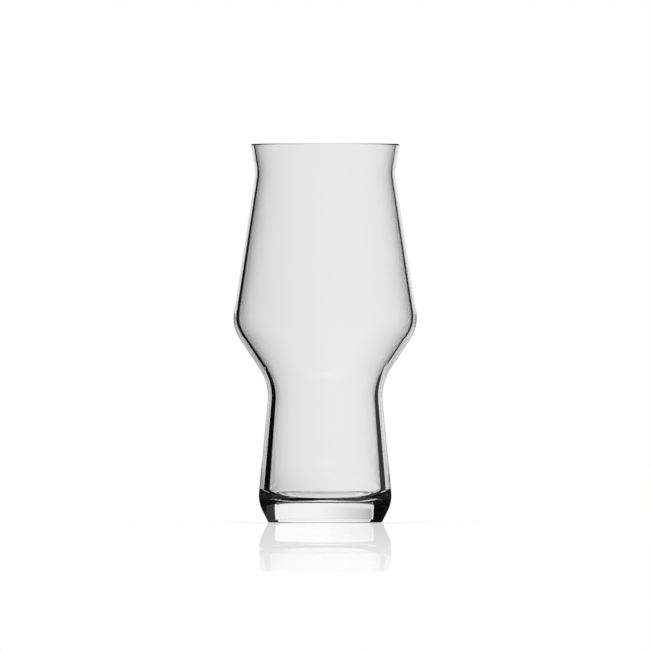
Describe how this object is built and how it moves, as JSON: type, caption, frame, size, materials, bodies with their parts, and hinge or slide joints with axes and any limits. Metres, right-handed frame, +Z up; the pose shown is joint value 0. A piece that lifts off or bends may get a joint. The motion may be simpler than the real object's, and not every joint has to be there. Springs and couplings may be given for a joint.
{
  "type": "tulip beer glass",
  "caption": "Clear stemless tulip beer glass with a thick chamfered base, slim waisted grip, wide shoulder, tapering bowl and out-turned lip.",
  "frame": {"origin": "centre of the standing ring, on the table plane", "axes": "+Z up along the axis of the glass; it is the same all round, so +X and +Y are free"},
  "size_m": [0.0764, 0.0764, 0.158],
  "materials": {
    "glass": "clear, colourless, fire-polished"
  },
  "bodies": {
    "root": {"base": "glass", "grip": "glass", "shoulder": "glass", "bowl": "glass", "lip": "glass"}
  },
  "joints": []
}
